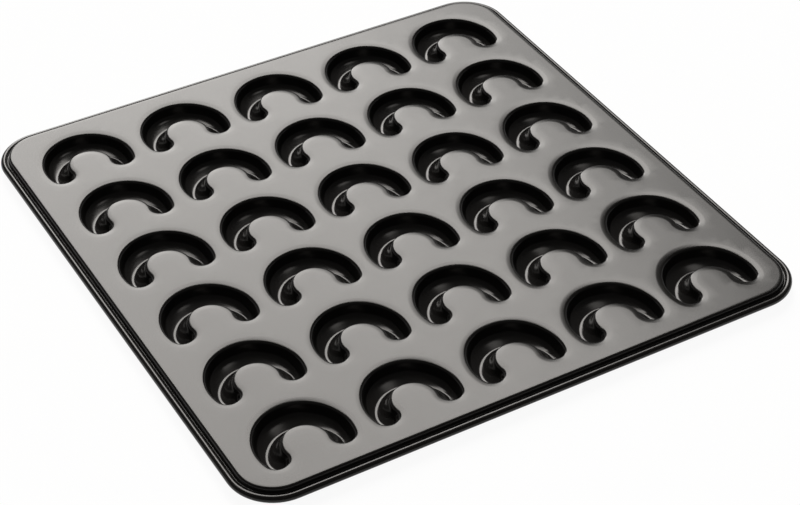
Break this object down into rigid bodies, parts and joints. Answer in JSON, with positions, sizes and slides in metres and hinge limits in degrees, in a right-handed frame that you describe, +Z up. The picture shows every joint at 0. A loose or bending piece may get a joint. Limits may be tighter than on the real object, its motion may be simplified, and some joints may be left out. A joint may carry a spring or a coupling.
{
  "type": "crescent cookie baking tray",
  "caption": "Flat pressed-steel baking tray with rows of crescent-shaped cups for shaped cookies, rounded corners and a rolled wire edge.",
  "frame": {"origin": "middle of the tray's outer box, on the surface that the cups stand on", "axes": "+X along the five columns of cups, to the right; +Y along the six rows, towards the back, away from the horns; +Z up"},
  "size_m": [0.3708, 0.3764, 0.0104],
  "materials": {
    "coated_steel": "satin dark grey non-stick coating",
    "wire_steel": "drawn steel wire"
  },
  "bodies": {
    "root": {"crescent_cup_r1_c1": "coated_steel", "crescent_cup_r1_c2": "coated_steel", "crescent_cup_r1_c3": "coated_steel", "crescent_cup_r1_c4": "coated_steel", "crescent_cup_r1_c5": "coated_steel", "crescent_cup_r2_c1": "coated_steel", "crescent_cup_r2_c2": "coated_steel", "crescent_cup_r2_c3": "coated_steel", "crescent_cup_r2_c4": "coated_steel", "crescent_cup_r2_c5": "coated_steel", "crescent_cup_r3_c1": "coated_steel", "crescent_cup_r3_c2": "coated_steel", "crescent_cup_r3_c3": "coated_steel", "crescent_cup_r3_c4": "coated_steel", "crescent_cup_r3_c5": "coated_steel", "crescent_cup_r4_c1": "coated_steel", "crescent_cup_r4_c2": "coated_steel", "crescent_cup_r4_c3": "coated_steel", "crescent_cup_r4_c4": "coated_steel", "crescent_cup_r4_c5": "coated_steel", "crescent_cup_r5_c1": "coated_steel", "crescent_cup_r5_c2": "coated_steel", "crescent_cup_r5_c3": "coated_steel", "crescent_cup_r5_c4": "coated_steel", "crescent_cup_r5_c5": "coated_steel", "crescent_cup_r6_c1": "coated_steel", "crescent_cup_r6_c2": "coated_steel", "crescent_cup_r6_c3": "coated_steel", "crescent_cup_r6_c4": "coated_steel", "crescent_cup_r6_c5": "coated_steel", "rim_front": "coated_steel", "rim_back": "coated_steel", "rim_left": "coated_steel", "rim_right": "coated_steel", "rim_corner_back_left": "coated_steel", "rim_corner_back_right": "coated_steel", "rim_corner_front_left": "coated_steel", "rim_corner_front_right": "coated_steel", "rim_wire": "wire_steel"}
  },
  "joints": []
}
